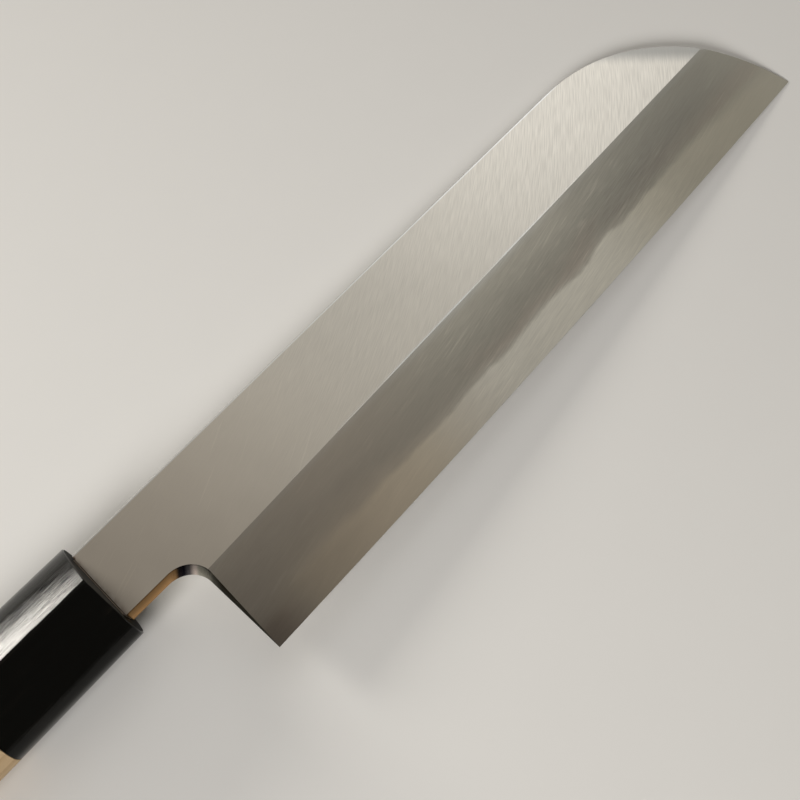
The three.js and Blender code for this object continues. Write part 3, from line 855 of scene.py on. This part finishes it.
def forged_tang():
    """Tang as it comes from the forge, with dark scale."""
    material, tree, shader = new_finish("forged_tang")
    place, _, _, _ = place_in(tree, blade_frame())
    scale = noise(tree, place, scale=0.5, detail=5.0, roughness=0.65)
    colour = tint(tree, ease(tree, scale, 0.42, 0.6), SCALE_DARK, SCALE_LIGHT)
    dress(tree, shader, colour, span(tree, scale, 0.5, 0.75), metal=0.7)
    relief(tree, shader, scale, 0.00006, 0.6)
    return material


# Finishes of the handle


def buffalo_horn():
    """Polished black horn with lengthwise streaks and fine polishing lines."""
    colours = bpy.context.scene.knife_finishes
    material, tree, shader = new_finish("buffalo_horn")
    place, _, _, _ = place_in(tree, handle_frame())
    streak = streaks(tree, place, (0.035, 0.45, 0.45), detail=4.0, roughness=0.6, distortion=0.3)
    line = streaks(tree, place, (0.09, 5.5, 5.5), turn=1.5, detail=1.0, roughness=0.6)
    cloud = streaks(tree, place, (0.05, 0.12, 0.12))
    share = times(tree, ease(tree, streak, 0.5, 0.72), ease(tree, cloud, 0.4, 0.65))
    rough = calc(tree, "ADD", ease(tree, line, 0.38, 0.62, 0.05, 0.18), span(tree, cloud, -0.02, 0.02))
    dress(tree, shader, tint(tree, share, colours.horn, colours.horn_streak), rough)
    shader.inputs["IOR"].default_value = HORN_IOR
    shader.inputs["Specular IOR Level"].default_value = 0.17
    relief(tree, shader, calc(tree, "MULTIPLY_ADD", streak, 0.6, line), 0.00004, 0.6)
    return material


def dull_horn():
    """Cut end of the horn, rubbed dull, with the ends of its fibres."""
    colours = bpy.context.scene.knife_finishes
    material, tree, shader = new_finish("dull_horn")
    place, _, _, _ = place_in(tree, handle_frame())
    fibre = noise(tree, place, scale=2.4, detail=3.0)
    colour = tint(tree, ease(tree, fibre, 0.4, 0.7), colours.horn, colours.horn_streak)
    dress(tree, shader, colour, span(tree, fibre, 0.42, 0.56))
    shader.inputs["IOR"].default_value = HORN_IOR
    shader.inputs["Specular IOR Level"].default_value = 0.03
    relief(tree, shader, fibre, 0.00002, 0.5)
    return material


def pale_wood():
    """Straight-grained pale wood: growth rings, fine fibres, pores and end grain on the butt."""
    colours = bpy.context.scene.knife_finishes
    material, tree, shader = new_finish("pale_wood")
    place, _, y, z = place_in(tree, handle_frame())

    # Growth rings about the tree's heart, which lies well outside the handle
    drift = streaks(tree, place, (0.012, 0.05, 0.05))
    ry = calc(tree, "ADD", y, calc(tree, "MULTIPLY_ADD", drift, HEART_DRIFT[0], TREE_HEART[0]))
    rz = calc(tree, "ADD", z, calc(tree, "MULTIPLY_ADD", drift, HEART_DRIFT[1], TREE_HEART[1]))
    radius = calc(tree, "SQRT", squares(tree, ry, rz))
    turns = calc(tree, "FRACT", times(tree, radius, RING_COUNT))
    ring = times(tree, ease(tree, turns, 0.35, 0.93), ease(tree, turns, 1.0, 0.95))

    fibre = streaks(tree, place, (0.05, 2.2, 2.2), detail=3.0, roughness=0.6)
    pits = ease(tree, streaks(tree, place, (0.18, 3.6, 3.6), detail=1.0), 0.66, 0.74)
    tone = streaks(tree, place, (0.01, 0.07, 0.07))
    colour = tint(tree, times(tree, ring, 0.45), colours.wood, colours.wood_grain)
    colour = shade(tree, colour, times(tree, span(tree, fibre, 0.90, 1.09), span(tree, tone, 0.92, 1.07)))
    colour = tint(tree, times(tree, pits, 0.35), colour, colours.wood_grain)
    dress(tree, shader, colour, span(tree, fibre, 0.52, 0.70))
    shader.inputs["IOR"].default_value = 1.5
    relief(tree, shader, calc(tree, "MULTIPLY_ADD", pits, -0.8, fibre), 0.00004, 0.5)
    return material


def brown_resin():
    """Brown resin, poured hot and set a little uneven."""
    colours = bpy.context.scene.knife_finishes
    material, tree, shader = new_finish("brown_resin")
    place, _, _, _ = place_in(tree, handle_frame())
    cloud = noise(tree, place, scale=0.6, detail=3.0)
    colour = tint(tree, cloud, dimmed(colours.resin, 0.6), dimmed(colours.resin, 1.5))
    dress(tree, shader, colour, span(tree, cloud, 0.22, 0.42))
    shader.inputs["IOR"].default_value = 1.53
    relief(tree, shader, cloud, 0.00006, 0.5)
    return material


# Light and air of the stage


def hang_light(name, power, place, aim, size, colour):
    """Soft round light that points at a spot."""
    direction = Vector(aim) - Vector(place)
    turn = direction.to_track_quat("-Z", "Y").to_euler()
    bpy.ops.object.light_add(type="AREA", location=place, rotation=turn)
    light = bpy.context.active_object
    light.name = name
    light.data.shape = "DISK"
    light.data.energy = power
    light.data.size = size
    light.data.color = colour
    light.data.spread = LIGHT_SPREAD


def glowing_air(stage):
    """Dim air with a wide soft glow beyond the tip, which the flat of the blade mirrors."""
    world = bpy.data.worlds.new("glowing_air")
    world.use_nodes = True
    tree = world.node_tree
    where = add_node(tree, "TexCoord")
    facing = tree.nodes.new("ShaderNodeVectorMath")
    facing.operation = "DOT_PRODUCT"
    tree.links.new(where.outputs["Generated"], facing.inputs[0])
    facing.inputs[1].default_value = Vector(stage.glow_aim).normalized()
    near = calc(tree, "MULTIPLY_ADD", facing.outputs["Value"], 2.0, -1.0, clamp=True)
    glow = ramp(tree, near, (
        (0.0, (0.085, 0.078, 0.07)),
        (0.2, (0.14, 0.128, 0.115)),
        (0.4, (0.19, 0.172, 0.155)),
        (0.55, (0.20, 0.185, 0.169)),
        (0.66, (0.27, 0.254, 0.233)),
        (0.74, (0.505, 0.486, 0.452)),
        (0.81, (0.635, 0.618, 0.578)),
        (0.9, (0.40, 0.395, 0.373)),
        (0.95, (0.96, 0.96, 0.945)),
        (1.0, (1.27, 1.27, 1.26)),
    ))
    backdrop = tree.nodes["Background"]
    tree.links.new(tint(tree, 1.0, glow, stage.air, "MULTIPLY"), backdrop.inputs["Color"])
    backdrop.inputs["Strength"].default_value = stage.air_strength
    return world


# Steps of the work


class KNIFE_OT_set_stage(bpy.types.Operator):
    """Lay the floor, hang the lights and place the camera"""

    bl_idname = "knife.set_stage"
    bl_label = "Set stage"
    bl_options = {"REGISTER", "UNDO"}

    def execute(self, context):
        scene = context.scene
        stage = scene.knife_stage
        deselect_all()
        bpy.ops.mesh.primitive_plane_add(size=FLOOR_SIZE, location=(0.0, 0.0, 0.0))
        floor = context.active_object
        floor.name = "floor"
        material, tree, shader = new_finish("pale_floor")
        where = add_node(tree, "TexCoord")
        grain = noise(tree, where.outputs["Object"], scale=90.0, detail=3.0)
        colour = tint(tree, grain, dimmed(stage.floor, 0.985), stage.floor)
        dress(tree, shader, colour, 0.9)
        shader.inputs["Specular IOR Level"].default_value = 0.15
        floor.data.materials.append(material)

        hang_light("key_light", stage.key_light, KEY_PLACE, KEY_AIM, KEY_SIZE, KEY_COLOUR)
        hang_light("ridge_light", stage.ridge_light, RIDGE_PLACE, RIDGE_AIM, RIDGE_SIZE, RIDGE_COLOUR)
        scene.world = glowing_air(stage)
        scene.view_settings.view_transform = "Standard"
        scene.view_settings.look = "None"

        bpy.ops.object.camera_add(location=stage.camera_place, rotation=stage.camera_turn)
        camera = context.active_object
        camera.name = "camera"
        camera.data.sensor_width = SENSOR_WIDTH
        camera.data.lens = stage.lens
        camera.data.clip_start = CLIP_NEAR
        camera.data.clip_end = CLIP_FAR
        scene.camera = camera
        return {"FINISHED"}


class KNIFE_OT_grind_blade(bpy.types.Operator):
    """Grind the soft-iron and hard-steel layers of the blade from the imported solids"""

    bl_idname = "knife.grind_blade"
    bl_label = "Grind blade"
    bl_options = {"REGISTER", "UNDO"}

    def execute(self, context):
        sizes = context.scene.knife_sizes
        to_blade = blade_frame().inverted()
        turn = to_blade.to_3x3()

        def aim(face):
            return turn @ face.normal

        def spot(face):
            return to_blade @ face.calc_center_median()

        def in_handle(face):
            return spot(face).x < TANG_MARGIN - sizes.neck_length

        def on_front(face):
            return aim(face).z > FRONT_TILT and not in_handle(face)

        def on_flat(face):
            return on_front(face) and aim(face).y > BEVEL_TILT

        def on_bevel(face):
            return on_front(face) and aim(face).y <= BEVEL_TILT

        def on_back(face):
            return aim(face).z < -FRONT_TILT and not in_handle(face)

        def on_rim(face):
            return aim(face).z < -RIM_TILT and spot(face).z < RIM_DEPTH and not in_handle(face)

        def on_wall(face):
            leaning = aim(face).y < WALL_LEAN or aim(face).x < WALL_LEAN
            return leaning and abs(aim(face).z) < WALL_TILT and not in_handle(face)

        def by_heel(face):
            return spot(face).x < HEEL_END[0] * MM and spot(face).y < HEEL_END[1] * MM

        def ridge_line(edge):
            first, second = edge.link_faces
            return on_flat(first) != on_flat(second) and on_bevel(first) != on_bevel(second)

        def hollow_line(edge):
            first, second = edge.link_faces
            past_heel = min((to_blade @ corner.co).x for corner in edge.verts) > HOLLOW_END[0] * MM
            return past_heel and on_back(first) and on_back(second) and on_rim(first) != on_rim(second)

        def wall_corner(edge):
            first, second = edge.link_faces
            sides = (on_front(first) or on_back(first), on_front(second) or on_back(second))
            return sides[0] != sides[1] and (on_wall(first) or on_wall(second))

        flat = satin_flat()
        bevel = misted_bevel()
        walls = polished_walls("polished_walls", False)
        heel = polished_walls("heel_walls", True)
        hollow = ground_back("hollow_back", True)
        rim = ground_back("stoned_rim", False)
        tang = forged_tang()

        iron = merged_copy("blade_iron", "blade_iron_ground")
        pick(iron, "FACE", lambda face: on_front(face) and spot(face).x < sizes.neck_length)
        bpy.ops.mesh.dissolve_limited(angle_limit=NEAR_PLANE)
        pick_edges(iron, ridge_line)
        bpy.ops.mesh.bevel(offset=sizes.shinogi_rounding, segments=3, profile=0.5, clamp_overlap=True)
        pick_edges(iron, wall_corner)
        bpy.ops.mesh.bevel(offset=sizes.choil_rounding, segments=2, profile=0.5, clamp_overlap=True)
        paint(iron, (
            (flat, on_flat),
            (bevel, on_bevel),
            (tang, in_handle),
            (heel, by_heel),
            (walls, lambda face: True),
        ))
        close_up(iron, ("blade_iron",), BLADE_SMOOTH)

        steel = merged_copy("blade_steel", "blade_steel_ground")
        for sharp_line in (hollow_line, ridge_line):
            pick_edges(steel, sharp_line)
            bpy.ops.mesh.mark_sharp()
        paint(steel, (
            (bevel, on_front),
            (rim, on_rim),
            (hollow, on_back),
            (heel, by_heel),
            (walls, lambda face: True),
        ))
        close_up(steel, ("blade_steel",), BLADE_SMOOTH)
        return {"FINISHED"}


class KNIFE_OT_fit_ferrule(bpy.types.Operator):
    """Fit the horn ferrule, with a softened ridge and front rim"""

    bl_idname = "knife.fit_ferrule"
    bl_label = "Fit ferrule"
    bl_options = {"REGISTER", "UNDO"}

    def execute(self, context):
        sizes = context.scene.knife_sizes
        turn = handle_frame().inverted().to_3x3()
        piece = merged_copy("ferrule", "ferrule_horn")
        soften_ridge(piece, sizes.ridge_rounding)
        soften_rim(piece, sizes.front_rounding, 1.0)
        paint(piece, (
            (dull_horn(), lambda face: abs((turn @ face.normal).x) > CUT_TILT),
            (buffalo_horn(), lambda face: True),
        ))
        close_up(piece, ("ferrule",), HANDLE_SMOOTH)
        return {"FINISHED"}


class KNIFE_OT_carve_handle(bpy.types.Operator):
    """Carve the ridged wooden handle, with a softened ridge and butt"""

    bl_idname = "knife.carve_handle"
    bl_label = "Carve handle"
    bl_options = {"REGISTER", "UNDO"}

    def execute(self, context):
        sizes = context.scene.knife_sizes
        piece = merged_copy("handle", "handle_wood")
        soften_ridge(piece, sizes.ridge_rounding)
        soften_rim(piece, sizes.butt_rounding, -1.0)
        paint(piece, ((pale_wood(), lambda face: True),))
        close_up(piece, ("handle",), HANDLE_SMOOTH)
        return {"FINISHED"}


class KNIFE_OT_pour_seal(bpy.types.Operator):
    """Pour the resin round the tang, with a small bead beside the neck"""

    bl_idname = "knife.pour_seal"
    bl_label = "Pour seal"
    bl_options = {"REGISTER", "UNDO"}

    def execute(self, context):
        sizes = context.scene.knife_sizes
        turn = handle_frame().inverted().to_3x3()
        piece = merged_copy("tang_seal", "tang_seal_resin")
        if not pick(piece, "FACE", lambda face: (turn @ face.normal).x > END_TILT):
            raise RuntimeError("the seal has no front")
        forward = handle_frame().to_3x3() @ Vector((sizes.bead_length, 0.0, 0.0))
        bpy.ops.mesh.extrude_region_move(TRANSFORM_OT_translate={"value": forward})
        paint(piece, ((brown_resin(), lambda face: True),))
        close_up(piece, ("tang_seal",), RESIN_SMOOTH)
        return {"FINISHED"}


STEPS = (
    KNIFE_OT_set_stage,
    KNIFE_OT_grind_blade,
    KNIFE_OT_fit_ferrule,
    KNIFE_OT_carve_handle,
    KNIFE_OT_pour_seal,
)


class KNIFE_PT_workshop(bpy.types.Panel):
    """Steps and settings of the knife"""

    bl_idname = "KNIFE_PT_workshop"
    bl_label = "Knife"
    bl_space_type = "VIEW_3D"
    bl_region_type = "UI"
    bl_category = "Knife"

    def draw(self, context):
        layout = self.layout
        scene = context.scene
        for step in STEPS:
            layout.operator(step.bl_idname)
        for settings in (scene.knife_sizes, scene.knife_finishes, scene.knife_stage):
            box = layout.box()
            for name in settings.bl_rna.properties.keys():
                if name not in ("rna_type", "name"):
                    box.prop(settings, name)


CLASSES = (KnifeSizes, KnifeFinishes, KnifeStage, *STEPS, KNIFE_PT_workshop)


def register():
    for item in CLASSES:
        bpy.utils.register_class(item)
    bpy.types.Scene.knife_sizes = PointerProperty(type=KnifeSizes)
    bpy.types.Scene.knife_finishes = PointerProperty(type=KnifeFinishes)
    bpy.types.Scene.knife_stage = PointerProperty(type=KnifeStage)


def unregister():
    del bpy.types.Scene.knife_stage
    del bpy.types.Scene.knife_finishes
    del bpy.types.Scene.knife_sizes
    for item in reversed(CLASSES):
        bpy.utils.unregister_class(item)


def main():
    register()
    bpy.ops.knife.set_stage()
    bpy.ops.knife.grind_blade()
    bpy.ops.knife.fit_ferrule()
    bpy.ops.knife.carve_handle()
    bpy.ops.knife.pour_seal()


if __name__ == "__main__":
    main()
